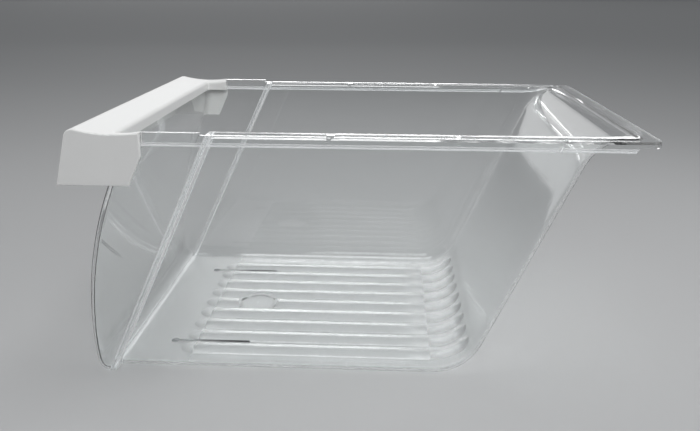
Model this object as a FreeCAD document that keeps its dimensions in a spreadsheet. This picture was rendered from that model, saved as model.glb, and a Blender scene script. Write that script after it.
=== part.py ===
# Clear crisper drawer with a white handle, in millimetres.
# The front faces -Y, the width runs along X and +Z is up.
# The origin is on the shelf, under the middle of the drawer.
import FreeCAD, Part
import os
import Sketcher

SIZES = (
    # The whole drawer
    ("overall_length", 451, "front of the handle to the rear edge of the rim"),
    ("rim_width", 323.4, "across the outer edges of the rim"),
    ("rim_height", 205, "shelf to the top of the rim"),
    ("wall", 2.5, "thickness of floor and walls"),
    # Walls of the tub
    ("rim_overhang", 14.4, "side wall to the outer edge of the rim, under the rim"),
    ("tub_draft", 1.2, "lean of the side walls, degrees"),
    ("edge_radius", 14, "outer radius along the floor sides and up the rear corners"),
    ("rear_lean", 24.5, "lean of the rear wall, degrees"),
    ("rear_overhang", 38.4, "rear wall to the rear edge of the rim, under the rim"),
    ("rear_radius", 45, "outer radius between floor and rear wall"),
    ("flare_radius", 38, "radius under the rear rim"),
    ("flare_break", 0.4, "fall of the rim's top along the flare"),
    # Rim, skirt and bead
    ("rim_thickness", 2.5, "thickness of the rim"),
    ("rim_corner_radius", 8, "plan radius of the rear corners of the rim"),
    ("skirt_thickness", 2.2, "thickness of the skirt"),
    ("skirt_depth", 8.5, "top of the rim to the lower edge of the skirt"),
    ("rear_skirt_rise", 3.5, "how much less the skirt hangs down at the rear"),
    ("skirt_step", 17.5, "rear edge of the rim to the step in the skirt"),
    ("skirt_step_run", 2, "length of the slope of the step"),
    ("bead_width", 4, "width of the raised bead at its foot"),
    ("bead_top_width", 2.4, "width of the flat top of the bead"),
    ("bead_height", 1, "height of the raised bead"),
    ("bead_inset", 8.3, "rim edge to the middle of the bead, at the sides"),
    ("bead_rear_inset", 13.2, "rim edge to the middle of the bead, at the rear"),
    ("bead_corner_radius", 9, "plan radius of the bead at the rear corners"),
    # Notches and slots in the rim
    ("notch_place", 245.9, "rear edge of the rim to the stop notch"),
    ("notch_width", 5.5, "width of the stop notch"),
    ("notch_depth", 4.4, "depth of the stop notch"),
    ("notch_reach", 8.7, "how far the stop notch goes in from the rim edge"),
    ("groove_place", 148.2, "rear edge of the rim to the cross groove"),
    ("groove_width", 2.4, "width of the cross groove"),
    ("groove_depth", 0.9, "depth of the cross groove"),
    ("groove_drop", 4.4, "how far the groove runs down the skirt"),
    ("slit_place", 71.5, "rear edge of the rim to the slanted slit"),
    ("slit_width", 2, "width of the slanted slit"),
    ("slit_lean", 30, "lean of the slanted slit, degrees"),
    # Ridges of the floor
    ("ridge_count", 9, "number of ridges"),
    ("ridge_pitch", 25.5, "distance between ridges"),
    ("ridge_width", 24, "width of a ridge"),
    ("ridge_height", 3, "height of a ridge"),
    ("ridge_setback", 47.3, "foot of the joint to the front tips of the ridges"),
    ("ridge_climb", 38, "how far the ridges climb the rear radius, degrees"),
    ("gate_setback", 100, "foot of the joint to the gate mark"),
    ("gate_disc", 34, "diameter of the flat round the gate mark"),
    ("gate_mark", 3, "diameter of the gate mark"),
    ("gate_depth", 0.6, "depth of the gate mark"),
    ("key_groove_setback", 35.3, "foot of the joint to the front of the key grooves"),
    ("key_groove_length", 71, "length of the key grooves"),
    ("key_groove_width", 3, "width of the key grooves"),
    ("key_groove_depth", 1.2, "depth of the key grooves"),
    ("key_hole", 7, "diameter of the round end of the key grooves"),
    # Joint between tub and front
    ("base_depth", 13.6, "front of the bow to the foot of the joint"),
    ("joint_lean", 24.6, "lean of the joint, degrees"),
    ("joint_flange", 2.3, "thickness of each flange of the joint"),
    ("flange_splay", 17.2, "how far each side of the tub's flange leans out from floor to rim"),
    # Front shell
    ("front_splay", 12.2, "how far each side of the front leans out from floor to rim"),
    ("front_edge_radius", 7, "outer radius along the sides of the front"),
    ("front_floor_radius", 11.5, "outer radius between front and floor"),
    ("bow_radius", 320, "radius of the bowed front"),
    ("bow_height", 38, "height of the foremost line of the bow"),
    ("bow_bulge", 31.1, "how far the bow stands out from the neck"),
    ("neck_radius", 60, "radius between bow and neck"),
    ("band_thickness", 1.5, "how far the top band stands out from the wall"),
    ("band_rise", 2, "top of the rim to the top of the band"),
    ("band_depth", 9.4, "height of the band"),
    ("band_setback", 4.5, "flange of the joint to the rear end of the band"),
    ("band_corner_radius", 4, "radius of the lower rear corner of the band"),
    # Handle
    ("handle_reach", 40.7, "front edge of the handle to the neck of the front"),
    ("handle_length", 66.1, "front edge to rear edge of the handle"),
    ("handle_drop", 39, "top of the rim to the lower edge of the handle"),
    ("handle_rise", 6, "top of the rim to the upper edge of the fascia, before rounding"),
    ("handle_rear_rise", 2.2, "top of the rim to the top of the handle at the rear"),
    ("fascia_lean", 13.1, "lean of the fascia, degrees"),
    ("fascia_thickness", 2.5, "thickness of the fascia"),
    ("crest_thickness", 4.2, "upper edge of the fascia, before rounding, to the hollow under it"),
    ("dip_radius", 128, "radius of the hollow along the top"),
    ("cheek_thickness", 2.8, "thickness of the end panels"),
    ("cheek_break", 16, "top of the rim to the bend of the rear edge"),
    ("cheek_tuck", 10.5, "how far the lower rear corner lies forward"),
    ("seat_drop", 1.6, "top of the rim to the seat of the handle"),
    ("lip_thickness", 2, "thickness of the inner lip"),
    ("lip_drop", 9.5, "top of the rim to the lower edge of the inner lip"),
    ("lip_corner_radius", 3, "plan radius of the corners of the inner lip"),
    ("lip_top_radius", 4, "radius of the upper edge of the inner lip"),
    ("handle_corner_radius", 7, "radius between fascia and top"),
    ("handle_edge_radius", 1.2, "radius of the outer edges of the end panels"),
    ("hook_length", 12, "length of a snap hook"),
    ("hook_reach", 1.5, "how far a snap hook stands in from its end panel"),
    ("hook_height", 3, "height of a snap hook"),
    ("fit_clearance", 0.1, "clearance between handle and front"),
    ("cheek_clearance", 0.5, "clearance between the top band and an end panel"),
    # Working allowances that leave no mark on the drawer
    ("overrun", 6, "how far a cutter passes the face that it cuts"),
    ("headroom", 45, "how far a forming body rises above the rim"),
)
NEAR = 0.01

doc = FreeCAD.newDocument("CrisperDrawer")
sheet = doc.addObject("Spreadsheet::Sheet", "Dimensions")
for row, (alias, size, meaning) in enumerate(SIZES, 1):
    sheet.set(f"A{row}", meaning)
    sheet.set(f"B{row}", str(size))
    sheet.setAlias(f"B{row}", alias)
doc.recompute()
CELLS = {alias: f"Dimensions.{alias}" for alias, size, meaning in SIZES}


# Reading and binding the driving sizes

def value(expression):
    return float(sheet.evalExpression(expression.format_map(CELLS)))


def bind(target, name, expression):
    target.setExpression(name, expression.format_map(CELLS))


# Sketches

def origin_item(body, role):
    return next(item for item in body.Origin.OriginFeatures if item.Role == role)


def new_sketch(body, name, role, offset="0"):
    sketch = body.newObject("Sketcher::SketchObject", name)
    sketch.AttachmentSupport = (origin_item(body, role), [""])
    sketch.MapMode = "FlatFace"
    bind(sketch, "AttachmentOffset.Base.z", offset)
    return sketch


def limit(sketch, kind, *parts):
    *places, size = parts
    index = sketch.addConstraint(Sketcher.Constraint(kind, *places, value(size)))
    bind(sketch, f"Constraints[{index}]", size)


def pin(sketch, geometry, point, across, up):
    limit(sketch, "DistanceX", -1, 1, geometry, point, across)
    limit(sketch, "DistanceY", -1, 1, geometry, point, up)


def spot(across, up):
    return FreeCAD.Vector(value(across), value(up), 0)


def outline(body, name, role, corners, offset="0"):
    """Closed outline with straight sides, each corner held by two sizes."""
    sketch = new_sketch(body, name, role, offset)
    points = [spot(across, up) for across, up in corners]
    for index, start in enumerate(points):
        sketch.addGeometry(Part.LineSegment(start, points[(index + 1) % len(points)]), False)
    for index, (across, up) in enumerate(corners):
        sketch.addConstraint(Sketcher.Constraint("Coincident", index, 2, (index + 1) % len(corners), 1))
        pin(sketch, index, 1, across, up)
    return sketch


def circle(body, name, role, across, up, radius, offset="0"):
    sketch = new_sketch(body, name, role, offset)
    sketch.addGeometry(Part.Circle(spot(across, up), FreeCAD.Vector(0, 0, 1), value(radius)), False)
    pin(sketch, 0, 3, across, up)
    limit(sketch, "Radius", 0, radius)
    return sketch


# Features

def pad(body, name, sketch, length, symmetric=False, reverse=False):
    feature = body.newObject("PartDesign::Pad", name)
    feature.Profile = sketch
    feature.SideType = "Symmetric" if symmetric else "One side"
    feature.Reversed = reverse
    bind(feature, "Length", length)
    doc.recompute()
    return feature


def pocket(body, name, sketch, length, symmetric=False, reverse=False):
    feature = body.newObject("PartDesign::Pocket", name)
    feature.Profile = sketch
    feature.SideType = "Symmetric" if symmetric else "One side"
    feature.Reversed = reverse
    bind(feature, "Length", length)
    before = body.Shape.Volume
    doc.recompute()
    if body.Shape.Volume >= before:
        raise RuntimeError(f"{body.Name}: {name} cuts nothing")
    return feature


def edges_at(feature, **place):
    """Names of the edges whose ends all lie at the given coordinates."""
    goal = {axis: value(size) for axis, size in place.items()}
    names = []
    for number, edge in enumerate(feature.Shape.Edges, 1):
        ends = [vertex.Point for vertex in edge.Vertexes]
        if all(abs(getattr(end, axis) - size) < NEAR for end in ends for axis, size in goal.items()):
            names.append(f"Edge{number}")
    if not names:
        raise RuntimeError(f"{feature.Name}: no edge at {goal}")
    return names


def highest(feature, names):
    return max(names, key=lambda name: feature.Shape.getElement(name).CenterOfMass.z)


def fillet(body, name, radius, names):
    base = body.Tip
    feature = body.newObject("PartDesign::Fillet", name)
    feature.Base = (base, names)
    bind(feature, "Radius", radius)
    doc.recompute()
    return feature


def chamfer(body, name, size, names):
    base = body.Tip
    feature = body.newObject("PartDesign::Chamfer", name)
    feature.Base = (base, names)
    bind(feature, "Size", size)
    doc.recompute()
    return feature


def draft_sides(body, name, half_width, angle):
    """Let the two end faces of a pad lean outward from the level of the floor."""
    base = body.Tip
    ends = []
    for number, face in enumerate(base.Shape.Faces, 1):
        box = face.BoundBox
        if box.XLength < NEAR and abs(abs(box.XMin) - value(half_width)) < NEAR:
            ends.append(f"Face{number}")
    feature = body.newObject("PartDesign::Draft", name)
    feature.NeutralPlane = (origin_item(body, "XY_Plane"), [""])
    feature.Reversed = True
    bind(feature, "Angle", angle)
    doc.recompute()
    feature.Base = (base, ends)
    doc.recompute()
    return feature


def mirror(body, name, originals):
    feature = body.newObject("PartDesign::Mirrored", name)
    feature.Originals = originals
    feature.MirrorPlane = (origin_item(body, "YZ_Plane"), [""])
    body.Tip = feature
    doc.recompute()
    return feature


def cut(name, base, tool):
    feature = doc.addObject("Part::Cut", name)
    feature.Base = base
    feature.Tool = tool
    doc.recompute()
    return feature


def join(name, *shapes):
    feature = doc.addObject("Part::MultiFuse", name)
    feature.Shapes = list(shapes)
    doc.recompute()
    return feature


def new_body(name):
    body = doc.addObject("PartDesign::Body", name)
    doc.recompute()
    return body


# Lines of the side view that several pieces share

REAR = "({overall_length} / 2)"
FRONT = "(-{overall_length} / 2)"
NECK = f"({FRONT} + {{handle_reach}})"
BOW = f"({NECK} - {{bow_bulge}})"
JOINT_FOOT = f"({BOW} + {{base_depth}})"
LEDGE = "({rim_height} - {rim_thickness})"
RIM_TOP = "{rim_height}"


def along_lean(foot, height, lean, beside):
    """Place on a leaning line at a height, moved beside the line by a distance square to it."""
    return f"({foot} + ({height}) * tan({lean} * 1 deg) + ({beside}) / cos({lean} * 1 deg))"


def joint_at(height, behind="0"):
    return along_lean(JOINT_FOOT, height, "{joint_lean}", behind)


def rear_wall_at(height, inside="0"):
    top = f"({REAR} - {{rear_overhang}})"
    return along_lean(top, f"({height}) - {LEDGE}", "{rear_lean}", f"-({inside})")


# Half widths that several pieces share

RIM_HALF = "({rim_width} / 2)"
TUB_HALF = f"({RIM_HALF} - {{rim_overhang}} - {{rim_height}} * tan({{tub_draft}} * 1 deg))"
FLANGE_HALF = f"({RIM_HALF} - {{flange_splay}})"
FRONT_HALF = f"({RIM_HALF} - {{front_splay}})"
FRONT_DRAFT = "(atan({front_splay} / {rim_height}) / 1 deg)"
BAND_HALF = f"({RIM_HALF} + {{band_thickness}})"
CHEEK_HALF = f"({BAND_HALF} + {{cheek_clearance}})"
HANDLE_HALF = f"({CHEEK_HALF} + {{cheek_thickness}})"


# Walls of the tub, once for the outside and once for the space inside

def tub_walls(name, inset, ledge, front_overrun, rear_end):
    body = new_body(name)
    top = "({rim_height} + {headroom})"
    corners = (
        (joint_at(inset, f"-({front_overrun})"), inset),
        (rear_wall_at(inset, inset), inset),
        (rear_wall_at(ledge, inset), ledge),
        (rear_end, ledge),
        (rear_end, top),
        (joint_at(top, f"-({front_overrun})"), top),
    )
    side = outline(body, name + "Side", "YZ_Plane", corners)
    half = f"({TUB_HALF} - ({inset}) / cos({{tub_draft}} * 1 deg))"
    pad(body, name + "Pad", side, f"2 * {half}", symmetric=True)
    draft = draft_sides(body, name + "Draft", half, "{tub_draft}")
    heel = edges_at(draft, y=corners[1][0], z=inset)
    round_heel = fillet(body, name + "Heel", f"{{rear_radius}} - ({inset})", heel)
    crook = edges_at(round_heel, y=corners[2][0], z=ledge)
    flare = fillet(body, name + "Flare", f"{{flare_radius}} + ({inset})", crook)
    foot = f"({half} + ({inset}) * tan({{tub_draft}} * 1 deg))"
    sides = edges_at(flare, x=foot, z=inset) + edges_at(flare, x=f"-{foot}", z=inset)
    fillet(body, name + "Sides", f"{{edge_radius}} - ({inset})", sides)
    return body


def build_tub_outside():
    body = tub_walls("TubOutside", "0", LEDGE, "0", f"({REAR} - {{overrun}})")
    reach = f"({REAR} + {{overrun}})"
    above = (
        (FRONT, RIM_TOP),
        (reach, RIM_TOP),
        (reach, "{rim_height} + {headroom} + {overrun}"),
        (FRONT, "{rim_height} + {headroom} + {overrun}"),
    )
    level = outline(body, "RimLevel", "YZ_Plane", above)
    pocket(body, "LevelTop", level, "{rim_width}", symmetric=True)
    return body


def build_tub_inside():
    ledge = "({rim_height} + {flare_break})"
    return tub_walls("TubInside", "{wall}", ledge, "{joint_flange}", f"({REAR} + {{overrun}})")


# Ridges of the floor and the hollows under them

RIDGE_CROWN = "(({ridge_width} ^ 2 / 4 + {ridge_height} ^ 2) / (2 * {ridge_height}))"
RIDGE_AXIS = f"({{wall}} + {{ridge_height}} - {RIDGE_CROWN})"
FIRST_RIDGE = "(-{ridge_pitch} * ({ridge_count} - 1) / 2)"
RIDGE_FRONT = f"({JOINT_FOOT} + {{ridge_setback}} + {{ridge_width}} / 2)"
HEEL_RISE = "{rear_radius} * (sin({rear_lean} * 1 deg) - 1) / cos({rear_lean} * 1 deg)"
HEEL = f"({rear_wall_at('0')} + {HEEL_RISE})"
GATE_PLACE = f"({JOINT_FOOT} + {{gate_setback}})"


def straight_bar(body, radius):
    """Round bar along the first ridge, from behind its tip to the rear radius."""
    place = (FIRST_RIDGE, RIDGE_AXIS)
    section = circle(body, body.Name + "Section", "XZ_Plane", *place, radius, f"-{RIDGE_FRONT}")
    return pad(body, body.Name + "Bar", section, f"{HEEL} - {RIDGE_FRONT}", reverse=True)


def repeat_bars(body, originals, gate_margin):
    """Set the bars side by side, and leave the floor flat round the gate mark."""
    row = body.newObject("PartDesign::LinearPattern", body.Name + "Row")
    row.Originals = originals
    row.TransformMode = "Whole shape"
    row.Direction = (origin_item(body, "X_Axis"), [""])
    bind(row, "Length", "{ridge_pitch} * ({ridge_count} - 1)")
    bind(row, "Occurrences", "{ridge_count}")
    body.Tip = row
    doc.recompute()
    radius = f"{{gate_disc}} / 2 + {gate_margin}"
    disc = circle(body, body.Name + "Disc", "XY_Plane", "0", GATE_PLACE, radius)
    pocket(body, body.Name + "Gate", disc, "{rim_height}", symmetric=True)


def build_ridge_tops():
    """Upper faces of the ridges: straight bars that bend up the rear radius, with round tips."""
    body = new_body("RidgeTops")
    straight = straight_bar(body, RIDGE_CROWN)
    height = f"{RIDGE_AXIS} - {{rear_radius}}"
    place = (FIRST_RIDGE, height)
    bend_section = circle(body, "BendSection", "XZ_Plane", *place, RIDGE_CROWN, f"-{HEEL}")
    bind(bend_section, "AttachmentOffset.Base.y", "{rear_radius}")
    doc.recompute()
    bend = body.newObject("PartDesign::Revolution", "Bend")
    bend.Profile = bend_section
    bend.ReferenceAxis = (bend_section, ["H_Axis"])
    bind(bend, "Angle", "{ridge_climb}")
    doc.recompute()
    sweep = f"({{rear_radius}} - {RIDGE_AXIS})"
    end_y = f"({HEEL} + {sweep} * sin({{ridge_climb}} * 1 deg))"
    end_z = f"({{rear_radius}} - {sweep} * cos({{ridge_climb}} * 1 deg))"
    tips = []
    for name, place_y, place_z in (("FrontTip", RIDGE_FRONT, RIDGE_AXIS), ("RearTip", end_y, end_z)):
        ball = body.newObject("PartDesign::AdditiveSphere", name)
        ball.AttachmentSupport = (origin_item(body, "XZ_Plane"), [""])
        ball.MapMode = "FlatFace"
        bind(ball, "Radius", RIDGE_CROWN)
        bind(ball, "AttachmentOffset.Base.x", FIRST_RIDGE)
        bind(ball, "AttachmentOffset.Base.y", place_z)
        bind(ball, "AttachmentOffset.Base.z", f"-{place_y}")
        doc.recompute()
        tips.append(ball)
    repeat_bars(body, [straight, bend] + tips, "0")
    return body


def build_ridge_hollows():
    """Hollows under the straight run of each ridge, which keep the floor at one thickness."""
    body = new_body("RidgeHollows")
    straight = straight_bar(body, f"({RIDGE_CROWN} - {{wall}})")
    repeat_bars(body, [straight], "{wall}")
    return body


# Gate mark and key grooves, sunk into the floor

def build_floor_marks():
    body = new_body("FloorMarks")
    gate_floor = "{wall} - {gate_depth}"
    gate = circle(body, "GateMark", "XY_Plane", "0", GATE_PLACE, "{gate_mark} / 2", gate_floor)
    pad(body, "GatePad", gate, "{gate_depth} + {overrun}")
    valley = "({ridge_pitch} * ({ridge_count} - 2) / 2)"
    start = f"({JOINT_FOOT} + {{key_groove_setback}} + {{key_hole}} / 2)"
    end = f"({JOINT_FOOT} + {{key_groove_setback}} + {{key_groove_length}})"
    left = f"({valley} - {{key_groove_width}} / 2)"
    right = f"({valley} + {{key_groove_width}} / 2)"
    level = "{wall} - {key_groove_depth}"
    depth = "{key_groove_depth} + {overrun}"
    corners = ((left, start), (right, start), (right, end), (left, end))
    groove = outline(body, "KeyGroove", "XY_Plane", corners, level)
    groove_pad = pad(body, "KeyGroovePad", groove, depth)
    hole = circle(body, "KeyHole", "XY_Plane", valley, start, "{key_hole} / 2", level)
    hole_pad = pad(body, "KeyHolePad", hole, depth)
    mirror(body, "KeyGrooves", [groove_pad, hole_pad])
    return body


# Rim of the tub with its skirt, notches and slits

def build_rim():
    body = new_body("Rim")
    half = RIM_HALF
    skirt_foot = "({rim_height} - {skirt_depth})"
    block = (
        (joint_at(skirt_foot), skirt_foot),
        (REAR, skirt_foot),
        (REAR, RIM_TOP),
        (joint_at(RIM_TOP), RIM_TOP),
    )
    side = outline(body, "RimSide", "YZ_Plane", block)
    pad(body, "RimPad", side, "{rim_width}", symmetric=True)
    inner = f"({half} - {{skirt_thickness}})"
    inner_rear = f"({REAR} - {{skirt_thickness}})"
    channel = ((f"-{inner}", FRONT), (inner, FRONT), (inner, inner_rear), (f"-{inner}", inner_rear))
    hollow = outline(body, "ChannelPlan", "XY_Plane", channel, f"{skirt_foot} - {{overrun}}")
    base = pocket(body, "Channel", hollow, f"{LEDGE} - {skirt_foot} + {{overrun}}", reverse=True)
    corners = edges_at(base, x=inner, y=inner_rear) + edges_at(base, x=f"-{inner}", y=inner_rear)
    base = fillet(body, "ChannelCorners", "{rim_corner_radius} - {skirt_thickness}", corners)
    corners = edges_at(base, x=half, y=REAR) + edges_at(base, x=f"-{half}", y=REAR)
    fillet(body, "RimCorners", "{rim_corner_radius}", corners)

    lift = f"({skirt_foot} + {{rear_skirt_rise}})"
    below = f"({skirt_foot} - {{overrun}})"
    behind = f"({REAR} + {{overrun}})"
    step = f"({REAR} - {{skirt_step}})"
    slope = f"({step} - {{skirt_step_run}})"
    rise = ((slope, below), (behind, below), (behind, lift), (step, lift), (slope, skirt_foot))
    rear_skirt = outline(body, "RearSkirtSide", "YZ_Plane", rise)
    pocket(body, "RearSkirt", rear_skirt, "{rim_width}", symmetric=True)

    outward = "{notch_reach} + {overrun}"
    above = f"({RIM_TOP} + {{overrun}})"
    root = f"({REAR} - {{notch_place}})"
    notch_floor = f"({RIM_TOP} - {{notch_depth}})"
    vee = (
        (root, above),
        (root, notch_floor),
        (f"{root} + {{notch_width}}", RIM_TOP),
        (f"{root} + {{notch_width}}", above),
    )
    notch = outline(body, "NotchSide", "YZ_Plane", vee, f"{half} - {{notch_reach}}")
    notch_cut = pocket(body, "Notch", notch, outward, reverse=True)

    middle = f"({REAR} - {{groove_place}})"
    near = f"({middle} - {{groove_width}} / 2)"
    far = f"({middle} + {{groove_width}} / 2)"
    groove_floor = f"({RIM_TOP} - {{groove_depth}})"
    across = ((near, above), (near, groove_floor), (far, groove_floor), (far, above))
    groove = outline(body, "GrooveSide", "YZ_Plane", across, TUB_HALF)
    groove_cut = pocket(body, "Groove", groove, half, reverse=True)
    low = f"({RIM_TOP} - {{groove_drop}})"
    down = ((near, above), (near, low), (far, low), (far, above))
    drop = outline(body, "GrooveDropSide", "YZ_Plane", down, inner)
    drop_cut = pocket(body, "GrooveDrop", drop, "{skirt_thickness} + {overrun}", reverse=True)

    top_y = f"({REAR} - {{slit_place}})"
    foot_y = f"({top_y} - {{skirt_depth}} * tan({{slit_lean}} * 1 deg))"
    width = "({slit_width} / cos({slit_lean} * 1 deg))"
    slant = (
        (top_y, RIM_TOP),
        (foot_y, skirt_foot),
        (f"{foot_y} + {width}", skirt_foot),
        (f"{top_y} + {width}", RIM_TOP),
    )
    slit = outline(body, "SlitSide", "YZ_Plane", slant, inner)
    slit_cut = pocket(body, "Slit", slit, "{skirt_thickness} + {overrun}", reverse=True)
    mirror(body, "BothSides", [notch_cut, groove_cut, drop_cut, slit_cut])
    return body


# Raised bead that runs round the top of the rim

def build_bead():
    body = new_body("Bead")
    half = f"({RIM_HALF} - {{bead_inset}})"
    rear = f"({REAR} - {{bead_rear_inset}})"
    front = joint_at(RIM_TOP)
    radius = "{bead_corner_radius}"
    path = new_sketch(body, "BeadPath", "XY_Plane", RIM_TOP)
    bend_y = f"({rear} - {radius})"
    bend_x = f"({half} - {radius})"
    path.addGeometry(Part.LineSegment(spot(f"-{half}", front), spot(f"-{half}", bend_y)), False)
    path.addGeometry(Part.LineSegment(spot(f"-{bend_x}", rear), spot(bend_x, rear)), False)
    path.addGeometry(Part.LineSegment(spot(half, bend_y), spot(half, front)), False)
    for middle, start, end in (
        (spot(f"-{bend_x}", bend_y), spot(f"-{bend_x}", rear), spot(f"-{half}", bend_y)),
        (spot(bend_x, bend_y), spot(half, bend_y), spot(bend_x, rear)),
    ):
        full = Part.Circle(middle, FreeCAD.Vector(0, 0, 1), value(radius))
        arc = path.addGeometry(Part.ArcOfCircle(full, full.parameter(start), full.parameter(end)), False)
        limit(path, "Radius", arc, radius)
    pin(path, 0, 1, f"-{half}", front)
    pin(path, 0, 2, f"-{half}", bend_y)
    pin(path, 1, 1, f"-{bend_x}", rear)
    pin(path, 1, 2, bend_x, rear)
    pin(path, 2, 1, half, bend_y)
    pin(path, 2, 2, half, front)
    for ends in ((0, 2, 3, 2), (3, 1, 1, 1), (1, 2, 4, 2), (4, 1, 2, 1)):
        path.addConstraint(Sketcher.Constraint("Coincident", *ends))

    top = f"({RIM_TOP} + {{bead_height}})"
    corners = (
        (f"(-{half} - {{bead_width}} / 2)", RIM_TOP),
        (f"(-{half} + {{bead_width}} / 2)", RIM_TOP),
        (f"(-{half} + {{bead_top_width}} / 2)", top),
        (f"(-{half} - {{bead_top_width}} / 2)", top),
    )
    section = outline(body, "BeadSection", "XZ_Plane", corners, f"-{front}")
    doc.recompute()
    bar = body.newObject("PartDesign::AdditivePipe", "BeadBar")
    bar.Profile = section
    bar.Spine = (path, [f"Edge{number}" for number in range(1, 6)])
    doc.recompute()
    return body


# Flange of the tub along the joint

def build_tub_flange():
    body = new_body("TubFlange")
    slab = (
        (joint_at("0"), "0"),
        (joint_at("0", "{joint_flange}"), "0"),
        (joint_at(RIM_TOP, "{joint_flange}"), RIM_TOP),
        (joint_at(RIM_TOP), RIM_TOP),
    )
    side = outline(body, "TubFlangeSide", "YZ_Plane", slab)
    pad(body, "TubFlangePad", side, f"2 * {FLANGE_HALF}", symmetric=True)
    draft_sides(body, "TubFlangeDraft", FLANGE_HALF, "atan({flange_splay} / {rim_height}) / 1 deg")
    return body


def build_tub(tub_inside):
    block = join("TubBlock", build_tub_outside(), build_rim(), build_tub_flange())
    space = cut("TubSpace", tub_inside, build_ridge_tops())
    hollowed = cut("TubHollowed", block, space)
    ridged = cut("TubRidged", hollowed, build_ridge_hollows())
    beaded = join("TubBeaded", ridged, build_bead())
    tub = cut("Tub", beaded, build_floor_marks())
    tub.Label = "tub"
    return tub


# Walls of the front, once for the outside and once for the space inside

def front_side_view(body, name, inset, top, rear):
    """Side view of the front: a long bow that turns into an upright neck."""
    neck = f"({NECK} + ({inset}))"
    bow_y, bow_z = f"({BOW} + {{bow_radius}})", "{bow_height}"
    bow = f"({{bow_radius}} - ({inset}))"
    bend = f"({{neck_radius}} + ({inset}))"
    bend_y = f"({neck} - {bend})"
    bend_z = f"({bow_z} + sqrt(({bow} + {bend}) ^ 2 - ({bow_y} - {bend_y}) ^ 2))"
    bow_middle, bend_middle = spot(bow_y, bow_z), spot(bend_y, bend_z)
    meet = bow_middle + (bend_middle - bow_middle) * value(f"{bow} / ({bow} + {bend})")
    toe = spot(f"{bow_y} - sqrt({bow} ^ 2 - ({bow_z} - ({inset})) ^ 2)", inset)
    shoulder, crown = spot(neck, bend_z), spot(neck, top)
    back_top, back_foot = spot(rear, top), spot(rear, inset)

    sketch = new_sketch(body, name, "YZ_Plane")
    upright = FreeCAD.Vector(0, 0, 1)
    bow_circle = Part.Circle(bow_middle, upright, value(bow))
    bend_circle = Part.Circle(bend_middle, upright, value(bend))
    for full, start, end in ((bow_circle, meet, toe), (bend_circle, meet, shoulder)):
        arc = Part.ArcOfCircle(full, full.parameter(start), full.parameter(end))
        sketch.addGeometry(arc, False)
    for start, end in ((shoulder, crown), (crown, back_top), (back_top, back_foot), (back_foot, toe)):
        sketch.addGeometry(Part.LineSegment(start, end), False)
    pin(sketch, 0, 3, bow_y, bow_z)
    limit(sketch, "Radius", 0, bow)
    limit(sketch, "Radius", 1, bend)
    sketch.addConstraint(Sketcher.Constraint("Tangent", 0, 1, 1, 1))
    sketch.addConstraint(Sketcher.Constraint("Tangent", 1, 2, 2, 1))
    sketch.addConstraint(Sketcher.Constraint("Vertical", 2))
    sketch.addConstraint(Sketcher.Constraint("Horizontal", 5))
    for ends in ((2, 2, 3, 1), (3, 2, 4, 1), (4, 2, 5, 1), (5, 2, 0, 2)):
        sketch.addConstraint(Sketcher.Constraint("Coincident", *ends))
    pin(sketch, 2, 2, neck, top)
    pin(sketch, 3, 2, rear, top)
    pin(sketch, 4, 2, rear, inset)
    return sketch


def front_walls(name, inset, top, ahead, ease, size):
    """Front up to the joint. The corners between bow and sides are eased by a fillet or a chamfer."""
    body = new_body(name)
    rear = f"({joint_at(top)} + {{overrun}})"
    side = front_side_view(body, name + "Side", inset, top, rear)
    half = f"({FRONT_HALF} - ({inset}) / cos({FRONT_DRAFT} * 1 deg))"
    pad(body, name + "Pad", side, f"2 * {half}", symmetric=True)
    draft = draft_sides(body, name + "Draft", half, FRONT_DRAFT)
    back = f"sqrt(({{bow_radius}} - ({inset})) ^ 2 - ({{bow_height}} - ({inset})) ^ 2)"
    toe = edges_at(draft, y=f"({BOW} + {{bow_radius}} - {back})", z=inset)
    round_toe = fillet(body, name + "Toe", f"{{front_floor_radius}} - ({inset})", toe)
    foot = f"({half} + ({inset}) * tan({FRONT_DRAFT} * 1 deg))"
    sides = edges_at(round_toe, x=foot, z=inset) + edges_at(round_toe, x=f"-{foot}", z=inset)
    ease(body, name + "Corners", size, sides)
    low, high = "(-{overrun})", f"({top} + {{overrun}})"
    far = f"({rear} + {{overrun}})"
    near_low, near_high = joint_at(low, f"-({ahead})"), joint_at(high, f"-({ahead})")
    behind = ((near_low, low), (far, low), (far, high), (near_high, high))
    trim = outline(body, name + "JointSide", "YZ_Plane", behind)
    pocket(body, name + "Joint", trim, "{rim_width} + {headroom}", symmetric=True)
    return body


BAND_TOP = "({rim_height} + {band_rise})"
BAND_FOOT = f"({BAND_TOP} - {{band_depth}})"
SEAT = "({rim_height} - {seat_drop})"
HANDLE_REAR = f"({FRONT} + {{handle_length}})"


def build_band():
    body = new_body("Band")
    front = f"({NECK} - {{band_thickness}})"
    rear_top = f"({joint_at(BAND_TOP, '-{joint_flange}')} - {{band_setback}})"
    rear_foot = f"({joint_at(BAND_FOOT, '-{joint_flange}')} - {{band_setback}})"
    block = ((front, BAND_FOOT), (rear_foot, BAND_FOOT), (rear_top, BAND_TOP), (front, BAND_TOP))
    side = outline(body, "BandSide", "YZ_Plane", block)
    base = pad(body, "BandPad", side, f"2 * {BAND_HALF}", symmetric=True)
    corners = edges_at(base, x=BAND_HALF, y=front) + edges_at(base, x=f"-{BAND_HALF}", y=front)
    base = fillet(body, "BandCorners", "{front_edge_radius} + {band_thickness}", corners)
    fillet(body, "BandEnds", "{band_corner_radius}", edges_at(base, y=rear_foot, z=BAND_FOOT))
    return body


def build_rebate():
    body = new_body("Rebate")
    rear = f"({HANDLE_REAR} + {{fit_clearance}})"
    above = f"({BAND_TOP} + {{overrun}})"
    corners = ((FRONT, SEAT), (rear, SEAT), (rear, above), (FRONT, above))
    side = outline(body, "RebateSide", "YZ_Plane", corners)
    pad(body, "RebatePad", side, f"2 * {HANDLE_HALF}", symmetric=True)
    return body


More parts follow.
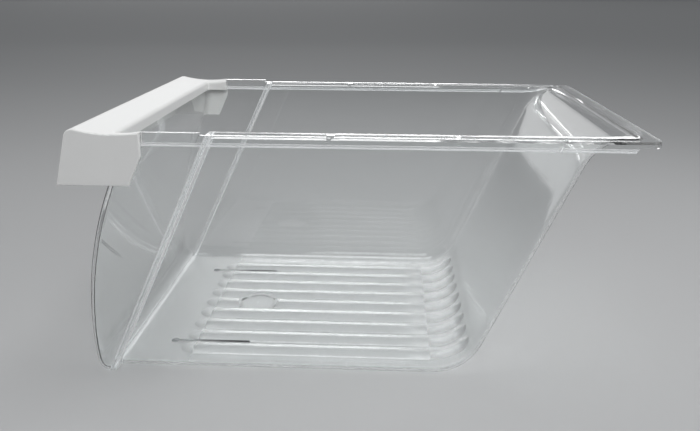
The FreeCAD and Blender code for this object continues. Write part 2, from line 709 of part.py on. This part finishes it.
def build_front_shell(tub_inside):
    outside = front_walls("FrontOutside", "0", RIM_TOP, "0", fillet, "{front_edge_radius}")
    block = join("FrontBlock", outside, build_band())
    flat = "(2 - sqrt(2)) * ({front_edge_radius} - {wall})"
    inside_top = "({rim_height} + {headroom})"
    inside = front_walls("FrontInside", "{wall}", inside_top, "{joint_flange}", chamfer, flat)
    hollowed = cut("FrontHollowed", block, inside)
    opened = cut("FrontOpened", hollowed, tub_inside)
    shell = cut("FrontShell", opened, build_rebate())
    shell.Label = "front_shell"
    return shell


# Handle: fascia, end panels, top and inner lip in one moulding

def build_handle():
    body = new_body("Handle")
    half = HANDLE_HALF
    foot = "({rim_height} - {handle_drop})"
    lean = "tan({fascia_lean} * 1 deg)"
    crest = "({rim_height} + {handle_rise})"
    crest_y = f"({FRONT} + ({crest} - {foot}) * {lean})"
    rear_top = "({rim_height} + {handle_rear_rise})"
    side = new_sketch(body, "HandleSide", "YZ_Plane")
    corners = (
        (HANDLE_REAR, rear_top),
        (HANDLE_REAR, "({rim_height} - {cheek_break})"),
        (f"({HANDLE_REAR} - {{cheek_tuck}})", foot),
        (FRONT, foot),
        (crest_y, crest),
    )
    points = [spot(across, up) for across, up in corners]
    for start, end in zip(points, points[1:]):
        side.addGeometry(Part.LineSegment(start, end), False)
    chord = points[0] - points[-1]
    rise = FreeCAD.Vector(-chord.y, chord.x, 0).normalize()
    to_middle = (value("{dip_radius}") ** 2 - (chord.Length / 2) ** 2) ** 0.5
    middle = (points[0] + points[-1]) / 2 + rise * to_middle
    full = Part.Circle(middle, FreeCAD.Vector(0, 0, 1), value("{dip_radius}"))
    side.addGeometry(Part.ArcOfCircle(full, full.parameter(points[-1]), full.parameter(points[0])), False)
    for index, (across, up) in enumerate(corners[:-1]):
        pin(side, index, 1, across, up)
    pin(side, 3, 2, crest_y, crest)
    for ends in ((0, 2, 1, 1), (1, 2, 2, 1), (2, 2, 3, 1), (3, 2, 4, 1), (4, 2, 0, 1)):
        side.addConstraint(Sketcher.Constraint("Coincident", *ends))
    limit(side, "Radius", 4, "{dip_radius}")
    base = pad(body, "HandlePad", side, f"2 * {half}", symmetric=True)
    base = fillet(body, "HandleCrest", "{handle_corner_radius}", edges_at(base, y=crest_y, z=crest))
    outer_edges = edges_at(base, x=half) + edges_at(base, x=f"-{half}")
    fillet(body, "CheekEdges", "{handle_edge_radius}", outer_edges)

    low = f"({foot} - {{overrun}})"
    hollow_top = f"({crest} - {{crest_thickness}})"
    back = f"({HANDLE_REAR} + {{overrun}})"
    thickness = "{fascia_thickness} / cos({fascia_lean} * 1 deg)"
    hollow = (
        (f"({FRONT} + ({low} - {foot}) * {lean} + {thickness})", low),
        (f"({FRONT} + ({hollow_top} - {foot}) * {lean} + {thickness})", hollow_top),
        (f"({NECK} - {{band_thickness}})", SEAT),
        (back, SEAT),
        (back, low),
    )
    hollow_side = outline(body, "HollowSide", "YZ_Plane", hollow)
    pocket(body, "HandleHollow", hollow_side, f"2 * {CHEEK_HALF}", symmetric=True)

    lip_foot = "({rim_height} - {lip_drop})"
    wall_x = along_lean(FRONT_HALF, lip_foot, FRONT_DRAFT, "-{wall}")
    outer_x = f"({wall_x} - {{fit_clearance}})"
    inner_x = f"({outer_x} - {{lip_thickness}})"
    outer_y = f"({NECK} + {{wall}} + {{fit_clearance}})"
    inner_y = f"({outer_y} + {{lip_thickness}})"
    window = ((f"-{inner_x}", inner_y), (inner_x, inner_y), (inner_x, back), (f"-{inner_x}", back))
    opening = outline(body, "WindowPlan", "XY_Plane", window, SEAT)
    pocket(body, "Window", opening, "{handle_rise} + {seat_drop} + {overrun}", reverse=True)
    ring = (
        (f"-{outer_x}", HANDLE_REAR),
        (f"-{outer_x}", outer_y),
        (outer_x, outer_y),
        (outer_x, HANDLE_REAR),
        (inner_x, HANDLE_REAR),
        (inner_x, inner_y),
        (f"-{inner_x}", inner_y),
        (f"-{inner_x}", HANDLE_REAR),
    )
    lip_plan = outline(body, "LipPlan", "XY_Plane", ring, lip_foot)
    lip = pad(body, "Lip", lip_plan, f"{SEAT} - {lip_foot} + {{lip_thickness}} / 2")
    inner_corners = edges_at(lip, x=inner_x, y=inner_y) + edges_at(lip, x=f"-{inner_x}", y=inner_y)
    lip = fillet(body, "LipCorners", "{lip_corner_radius}", inner_corners)
    outer_corners = edges_at(lip, x=outer_x, y=outer_y) + edges_at(lip, x=f"-{outer_x}", y=outer_y)
    lip = fillet(body, "LipBacks", "{lip_corner_radius} + {lip_thickness}", outer_corners)
    fillet(body, "LipTop", "{lip_top_radius}", [highest(lip, edges_at(lip, y=inner_y))])

    hook_top = f"({BAND_FOOT} - {{fit_clearance}})"
    hook_foot = f"({hook_top} - {{hook_height}})"
    root_x = f"({CHEEK_HALF} + {{cheek_thickness}} / 2)"
    barb = (
        (root_x, hook_top),
        (f"({CHEEK_HALF} - {{hook_reach}})", hook_top),
        (CHEEK_HALF, hook_foot),
        (root_x, hook_foot),
    )
    hook_y = f"(({NECK} + {HANDLE_REAR}) / 2)"
    hook_section = outline(body, "HookSection", "XZ_Plane", barb, f"-{hook_y}")
    hook = pad(body, "Hook", hook_section, "{hook_length}", symmetric=True)
    mirror(body, "Hooks", [hook])
    body.Label = "handle_trim"
    return body


tub_inside = build_tub_inside()
nodes = [build_tub(tub_inside), build_front_shell(tub_inside), build_handle()]
doc.recompute()

for item in doc.Objects:
    if {"Invalid", "Error"} & set(item.State):
        raise RuntimeError(f"{item.Name} failed: {item.State}")
os.makedirs("parts", exist_ok=True)
for node in nodes:
    shape = node.Shape
    if shape.isNull() or not shape.isValid() or len(shape.Solids) != 1:
        raise RuntimeError(f"{node.Label}: {len(shape.Solids)} solids, valid {shape.isValid()}")
    shape.exportStep(f"parts/{node.Label}.step")
    print(f"{node.Label}: volume {shape.Volume:.0f}")
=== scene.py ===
import math
from collections import namedtuple

import bpy
from mathutils import Matrix, Vector

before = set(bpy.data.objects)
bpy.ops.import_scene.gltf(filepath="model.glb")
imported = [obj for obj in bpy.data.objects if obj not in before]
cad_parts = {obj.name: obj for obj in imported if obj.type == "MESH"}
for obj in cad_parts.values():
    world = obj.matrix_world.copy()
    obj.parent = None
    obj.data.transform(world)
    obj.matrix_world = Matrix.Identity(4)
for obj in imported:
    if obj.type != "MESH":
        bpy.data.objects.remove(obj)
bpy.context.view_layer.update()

# Places and sizes are in metres, unless a comment says otherwise. X runs across the drawer, Y from its front
# to its rear and Z up.

# Camera: the photograph's own view. The picture is in pixels, the sensor in millimetres and the angles are
# in radians. Yaw turns the view from the -X direction.
PICTURE_WIDTH = 700
FOCAL_PIXELS = 780
SENSOR_WIDTH = 36.0
CAMERA_PLACE = (0.7276, 0.0236, 0.3164)
CAMERA_YAW = 0.0462
CAMERA_PITCH = 0.2934
CAMERA_ROLL = 0.0062
CLIP_START = 0.01
CLIP_END = 100.0

# Studio: a pale floor that runs past the picture, an even room tone and soft boxes aimed at the drawer.
# A box's spread is how wide its face shines, in degrees. One that isn't mirrored stays out of reflections.
STUDIO_FLOOR_SIZE = 80.0
STUDIO_FLOOR_GAP = 0.0003
STUDIO_FLOOR_PAINT = {"Base Color": (0.47, 0.473, 0.477, 1.0), "Roughness": 0.8, "Specular IOR Level": 0.2}
ROOM = {"Color": (0.95, 0.975, 1.0, 1.0), "Strength": 0.26}
OBJECT_MIDDLE = (0.0, 0.0, 0.12)
SOFT_BOXES = {
    "overhead": {"place": (0.0, 0.0, 2.2), "size": (1.0, 1.6), "radiance": 2.6, "spread": 150},
    "back_wall": {"place": (-16.0, -3.05, 4.5), "size": (8.9, 9.3), "radiance": 0.21, "spread": 100},
    "near_rim_strip": {"place": (-4.0, -0.16, 1.02), "size": (3.48, 0.03), "radiance": 1.0, "spread": 90},
    "far_rim_strip": {"place": (-4.0, -0.48, 0.69), "size": (2.84, 0.03), "radiance": 1.5, "spread": 90},
    "front_fill": {"place": (1.7, 0.3, 1.6), "size": (1.2, 1.0), "radiance": 1.75, "spread": 120,
                   "mirrored": False},
    "left_side": {"place": (-0.1, -1.2, 0.3), "size": (1.2, 0.5), "radiance": 0.12, "spread": 90},
    "right_side": {"place": (-0.1, 1.2, 0.6), "size": (1.2, 0.5), "radiance": 0.6, "spread": 90},
}

# Clear plastic: its own tone, the tone of its shadow, fine scuffs and faint waves from the moulding
PLASTIC_IOR = 1.57
PLASTIC_TONE = (0.97, 0.98, 0.98, 1.0)
SHADOW_TONE = (0.93, 0.94, 0.94, 1.0)
SHEEN = 0.2
SHEEN_ROUGHNESS = 0.3
SCUFFS = {"Scale": 60.0, "Detail": 6.0, "Roughness": 0.6}
SCUFF_RANGE = (0.35, 0.75)
SCUFF_ROUGHNESS = 0.04
FLOW = {"Scale": 9.0, "Detail": 2.0}
FLOW_WAVES = {"Strength": 0.06, "Distance": 0.002}

# Roughness of the clear plastic: polished walls, and a satin that changes along the inside of the floor
WALL_ROUGHNESS = 0.015
FLOOR_ROUGHNESS = 0.08
FRONT_ROUGHNESS = 0.225
RIDGE_TIP_ROUGHNESS = 0.32
GATE_ROUGHNESS = 0.32
REAR_BEND_ROUGHNESS = 0.23

# Where each satin begins and ends. It changes from the first place of a pair to the second one. The gate's
# pair is measured from its middle.
FLOOR_TOP = 0.0025
SATIN_HEIGHTS = (0.012, 0.034)
SATIN_SIDES = (0.13, 0.14)
FRONT_FADE = (-0.149, -0.11)
RIDGE_TIPS_END = -0.1431
REAR_BEND_FADE = (0.036, 0.058)
GATE_PLACE = (0.0, -0.1023, FLOOR_TOP)
GATE_EDGE = (0.0185, 0.0225)

# Key grooves: polished, with painted shade that darkens them, one on each side, each with a round end at the
# front, the key hole
KEY_GROOVE_X = 0.08925
KEY_GROOVE_Y = (-0.1672, -0.096)
KEY_GROOVE_REACH = 0.0018
KEY_HOLE_Y = -0.1635
KEY_HOLE_REACH = 0.0038
GROOVE_PAINTED_SHADE_TONE = (0.42, 0.43, 0.44, 1.0)

# Painted highlights: matt white bands painted along the weld and the lower edge of the skirt as bright
# lines.
# Each band has a start, an end and a share of painted white. The weld's bands are measured behind its plane,
# which leans back from its foot, and the skirt's lie along the lower edge of the skirt.
WELD_FOOT = -0.2023
WELD_LEAN = math.radians(24.6)
WELD_HIGHLIGHT_BANDS = ((0.0012, 0.0024, 1.0), (-0.0003, 0.0001, 0.5), (-0.0024, -0.0019, 0.6))
SKIRT_HIGHLIGHT_BANDS = ((0.1963, 0.1975, 0.85), (0.1984, 0.1992, 0.5))
SKIRT_FROM_X = 0.1585
BAND_FADE = 0.0002
PAINTED_HIGHLIGHT_TONE = (0.94, 0.95, 0.96, 1.0)
PAINTED_HIGHLIGHT_ROUGHNESS = 0.35

# White plastic: two tones and two glosses that drift into each other, and a fine moulded grain
WHITE_IOR = 1.5
WHITE_TONES = ((0.86, 0.86, 0.85, 1.0), (0.91, 0.91, 0.9, 1.0))
WHITE_ROUGHNESS = (0.3, 0.42)
WHITE_DRIFT = {"Scale": 14.0, "Detail": 4.0}
WHITE_GRAIN = {"Scale": 900.0, "Detail": 3.0}
WHITE_GRAIN_BUMPS = {"Strength": 0.12, "Distance": 0.0003}

# A shaded spot in the drawer's own space: the vector to it and its three coordinates
Spot = namedtuple("Spot", "place x y z")


def fill(tree, node, inputs):
    """Gives the inputs of a node plain values or the outputs of other nodes."""
    for name, given in inputs.items():
        if isinstance(given, bpy.types.NodeSocket):
            tree.links.new(given, node.inputs[name])
        else:
            node.inputs[name].default_value = given


def add_node(tree, kind, inputs, **settings):
    """A new node with its settings made and its inputs given."""
    node = tree.nodes.new(kind)
    for name, value in settings.items():
        setattr(node, name, value)
    fill(tree, node, inputs)
    return node


def new_material(name):
    """An empty node material and its node tree."""
    material = bpy.data.materials.new(name)
    material.use_nodes = True
    tree = material.node_tree
    tree.nodes.clear()
    return material, tree


def shaded_spot(tree):
    """The spot that is being shaded."""
    place = add_node(tree, "ShaderNodeTexCoord", {}).outputs["Object"]
    axes = add_node(tree, "ShaderNodeSeparateXYZ", {"Vector": place})
    return Spot(place, axes.outputs["X"], axes.outputs["Y"], axes.outputs["Z"])


def calculate(tree, operation, *terms):
    """The result of one operation. Its terms are numbers or outputs."""
    return add_node(tree, "ShaderNodeMath", dict(enumerate(terms)), operation=operation).outputs["Value"]


def highest(tree, *terms):
    """The highest of several numbers or outputs."""
    top = terms[0]
    for term in terms[1:]:
        top = calculate(tree, "MAXIMUM", top, term)
    return top


def ramp(tree, value, start, end, low, high):
    """A smooth change from low at start to high at end. Low and high are numbers or outputs."""
    inputs = {"Value": value, "From Min": start, "From Max": end, "To Min": low, "To Max": high}
    return add_node(tree, "ShaderNodeMapRange", inputs, interpolation_type="SMOOTHSTEP").outputs["Result"]


def band(tree, value, start, end, height):
    """Height between start and end, and 0 outside them."""
    rise = ramp(tree, value, start - BAND_FADE, start, 0.0, height)
    return ramp(tree, value, end, end + BAND_FADE, rise, 0.0)


def distance(tree, spot, point):
    """How far the spot lies from a point."""
    inputs = {0: spot.place, 1: point}
    return add_node(tree, "ShaderNodeVectorMath", inputs, operation="DISTANCE").outputs["Value"]


def noise(tree, spot, pattern):
    """Cloudy noise with a pattern's scale and detail."""
    return add_node(tree, "ShaderNodeTexNoise", {"Vector": spot.place, **pattern}).outputs["Fac"]


def bumps(tree, height, relief):
    """The surface direction of a relief that follows a height."""
    return add_node(tree, "ShaderNodeBump", {"Height": height, **relief}).outputs["Normal"]


def blend(tree, factor, first, second):
    """A tone between two tones."""
    inputs = {"Factor": factor, "A": first, "B": second}
    return add_node(tree, "ShaderNodeMix", inputs, data_type="RGBA").outputs["Result"]


def painted_highlight_share(tree, spot):
    """Painted highlight share: bands beside the weld plane and along the skirt's lower edge."""
    along, up = math.cos(WELD_LEAN), math.sin(WELD_LEAN)
    behind = calculate(tree, "MULTIPLY_ADD", spot.y, along, -WELD_FOOT * along)
    behind = calculate(tree, "MULTIPLY_ADD", spot.z, -up, behind)
    aside = calculate(tree, "ABSOLUTE", spot.x)
    outside = ramp(tree, aside, SKIRT_FROM_X - BAND_FADE, SKIRT_FROM_X, 0.0, 1.0)
    painted_highlight = 0.0
    for sizes in WELD_HIGHLIGHT_BANDS:
        painted_highlight = calculate(tree, "ADD", painted_highlight, band(tree, behind, *sizes))
    for sizes in SKIRT_HIGHLIGHT_BANDS:
        painted_highlight = calculate(tree, "MULTIPLY_ADD", outside, band(tree, spot.z, *sizes), painted_highlight)
    return painted_highlight


def groove_mask(tree, spot):
    """1 in the two key grooves and their round ends, 0 elsewhere."""
    aside = calculate(tree, "SUBTRACT", calculate(tree, "ABSOLUTE", spot.x), KEY_GROOVE_X)
    across = band(tree, aside, -KEY_GROOVE_REACH, KEY_GROOVE_REACH, 1.0)
    grooves = calculate(tree, "MULTIPLY", across, band(tree, spot.y, *KEY_GROOVE_Y, 1.0))
    for side in (-1, 1):
        away = distance(tree, spot, (side * KEY_GROOVE_X, KEY_HOLE_Y, FLOOR_TOP))
        hole = ramp(tree, away, KEY_HOLE_REACH, KEY_HOLE_REACH + BAND_FADE, 1.0, 0.0)
        grooves = highest(tree, grooves, hole)
    return grooves


def clear_roughness(tree, spot, grooves):
    """Satin on parts of the floor and in the rear bend, polished walls and grooves, and fine scuffs."""
    front = ramp(tree, spot.y, *FRONT_FADE, FRONT_ROUGHNESS, FLOOR_ROUGHNESS)
    tips = band(tree, spot.y, WELD_FOOT, RIDGE_TIPS_END, RIDGE_TIP_ROUGHNESS)
    bend = ramp(tree, spot.y, *REAR_BEND_FADE, 0.0, REAR_BEND_ROUGHNESS)
    gate = ramp(tree, distance(tree, spot, GATE_PLACE), *GATE_EDGE, GATE_ROUGHNESS, 0.0)
    floor = highest(tree, front, tips, bend, gate)
    floor = ramp(tree, grooves, 0.0, 1.0, floor, WALL_ROUGHNESS)
    floor = ramp(tree, calculate(tree, "ABSOLUTE", spot.x), *SATIN_SIDES, floor, WALL_ROUGHNESS)
    drawer = ramp(tree, spot.z, *SATIN_HEIGHTS, floor, WALL_ROUGHNESS)
    scuffs = ramp(tree, noise(tree, spot, SCUFFS), *SCUFF_RANGE, 0.0, SCUFF_ROUGHNESS)
    return calculate(tree, "ADD", drawer, scuffs)


def clear_plastic(name):
    """Clear moulded plastic with painted highlight lines, which lets lamps shine through it into its shadow.
    """
    material, tree = new_material(name)
    spot = shaded_spot(tree)
    grooves = groove_mask(tree, spot)
    # The base colour turns darker in the key grooves: painted shade.
    clear = add_node(tree, "ShaderNodeBsdfPrincipled", {
        "Base Color": blend(tree, grooves, PLASTIC_TONE, GROOVE_PAINTED_SHADE_TONE),
        "Roughness": clear_roughness(tree, spot, grooves),
        "Normal": bumps(tree, noise(tree, spot, FLOW), FLOW_WAVES),
        "IOR": PLASTIC_IOR,
        "Transmission Weight": 1.0,
        "Sheen Weight": SHEEN,
        "Sheen Roughness": SHEEN_ROUGHNESS,
    })
    # A matt white layer mixed in along the bands: painted highlights.
    painted_highlight = add_node(tree, "ShaderNodeBsdfPrincipled", {
        "Base Color": PAINTED_HIGHLIGHT_TONE,
        "Roughness": PAINTED_HIGHLIGHT_ROUGHNESS,
        "IOR": PLASTIC_IOR,
    })
    shadow = add_node(tree, "ShaderNodeBsdfTransparent", {"Color": SHADOW_TONE})
    lamp_rays = add_node(tree, "ShaderNodeLightPath", {}).outputs["Is Shadow Ray"]
    plastic = add_node(tree, "ShaderNodeMixShader", {
        "Fac": painted_highlight_share(tree, spot),
        1: clear.outputs["BSDF"],
        2: painted_highlight.outputs["BSDF"],
    })
    surface = add_node(tree, "ShaderNodeMixShader", {
        "Fac": lamp_rays,
        1: plastic.outputs["Shader"],
        2: shadow.outputs["BSDF"],
    })
    add_node(tree, "ShaderNodeOutputMaterial", {"Surface": surface.outputs["Shader"]})
    return material


def white_plastic(name):
    """White moulded plastic with a fine grain and slight unevenness in tone and gloss."""
    material, tree = new_material(name)
    spot = shaded_spot(tree)
    drift = noise(tree, spot, WHITE_DRIFT)
    gloss = dict(zip(("To Min", "To Max"), WHITE_ROUGHNESS))
    plastic = add_node(tree, "ShaderNodeBsdfPrincipled", {
        "Base Color": blend(tree, drift, *WHITE_TONES),
        "Roughness": add_node(tree, "ShaderNodeMapRange", {"Value": drift, **gloss}).outputs["Result"],
        "Normal": bumps(tree, noise(tree, spot, WHITE_GRAIN), WHITE_GRAIN_BUMPS),
        "IOR": WHITE_IOR,
    })
    add_node(tree, "ShaderNodeOutputMaterial", {"Surface": plastic.outputs["BSDF"]})
    return material


def floor_paint(name):
    """Plain matt paint."""
    material, tree = new_material(name)
    paint = add_node(tree, "ShaderNodeBsdfPrincipled", STUDIO_FLOOR_PAINT)
    add_node(tree, "ShaderNodeOutputMaterial", {"Surface": paint.outputs["BSDF"]})
    return material


def dress(node, material):
    """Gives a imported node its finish."""
    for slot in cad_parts[node].material_slots:
        slot.link = "OBJECT"
        slot.material = material


def build_camera():
    """The camera at the photograph's place, with its slight roll."""
    data = bpy.data.cameras.new("camera")
    data.sensor_width = SENSOR_WIDTH
    data.lens = SENSOR_WIDTH * FOCAL_PIXELS / PICTURE_WIDTH
    data.clip_start = CLIP_START
    data.clip_end = CLIP_END
    camera = bpy.data.objects.new("camera", data)
    bpy.context.scene.collection.objects.link(camera)
    forward = Vector((
        -math.cos(CAMERA_YAW) * math.cos(CAMERA_PITCH),
        -math.sin(CAMERA_YAW) * math.cos(CAMERA_PITCH),
        -math.sin(CAMERA_PITCH),
    ))
    level_right = forward.cross(Vector((0, 0, 1))).normalized()
    level_up = level_right.cross(forward)
    right = math.cos(CAMERA_ROLL) * level_right + math.sin(CAMERA_ROLL) * level_up
    up = math.cos(CAMERA_ROLL) * level_up - math.sin(CAMERA_ROLL) * level_right
    turn = Matrix((right, up, -forward)).transposed().to_4x4()
    camera.matrix_world = Matrix.Translation(CAMERA_PLACE) @ turn
    bpy.context.scene.camera = camera


def build_floor():
    """A plain pale floor just under the object."""
    bpy.ops.mesh.primitive_plane_add(size=STUDIO_FLOOR_SIZE, location=(0, 0, -STUDIO_FLOOR_GAP))
    floor = bpy.context.object
    floor.name = "floor"
    floor.data.materials.append(floor_paint("floor_paint"))


def softbox(name, place, size, radiance, spread, mirrored=True):
    """A soft rectangular lamp with a grid on its face, turned towards the middle of the object."""
    data = bpy.data.lights.new(name, "AREA")
    data.shape = "RECTANGLE"
    data.size, data.size_y = size
    data.energy = radiance * math.pi * size[0] * size[1]
    data.spread = math.radians(spread)
    lamp = bpy.data.objects.new(name, data)
    bpy.context.scene.collection.objects.link(lamp)
    lamp.location = place
    lamp.visible_glossy = mirrored
    lamp.rotation_euler = (Vector(OBJECT_MIDDLE) - Vector(place)).to_track_quat("-Z", "Y").to_euler()


def build_light():
    """Plain soft studio light: an even room tone and the soft boxes."""
    world = bpy.data.worlds.new("room")
    world.use_nodes = True
    fill(world.node_tree, world.node_tree.nodes["Background"], ROOM)
    bpy.context.scene.world = world
    for name, box in SOFT_BOXES.items():
        softbox(name, **box)
    bpy.context.scene.view_settings.view_transform = "Standard"


dress("tub", clear_plastic("clear_tub"))
dress("front_shell", clear_plastic("clear_front"))
dress("handle_trim", white_plastic("white_trim"))
build_camera()
build_floor()
build_light()
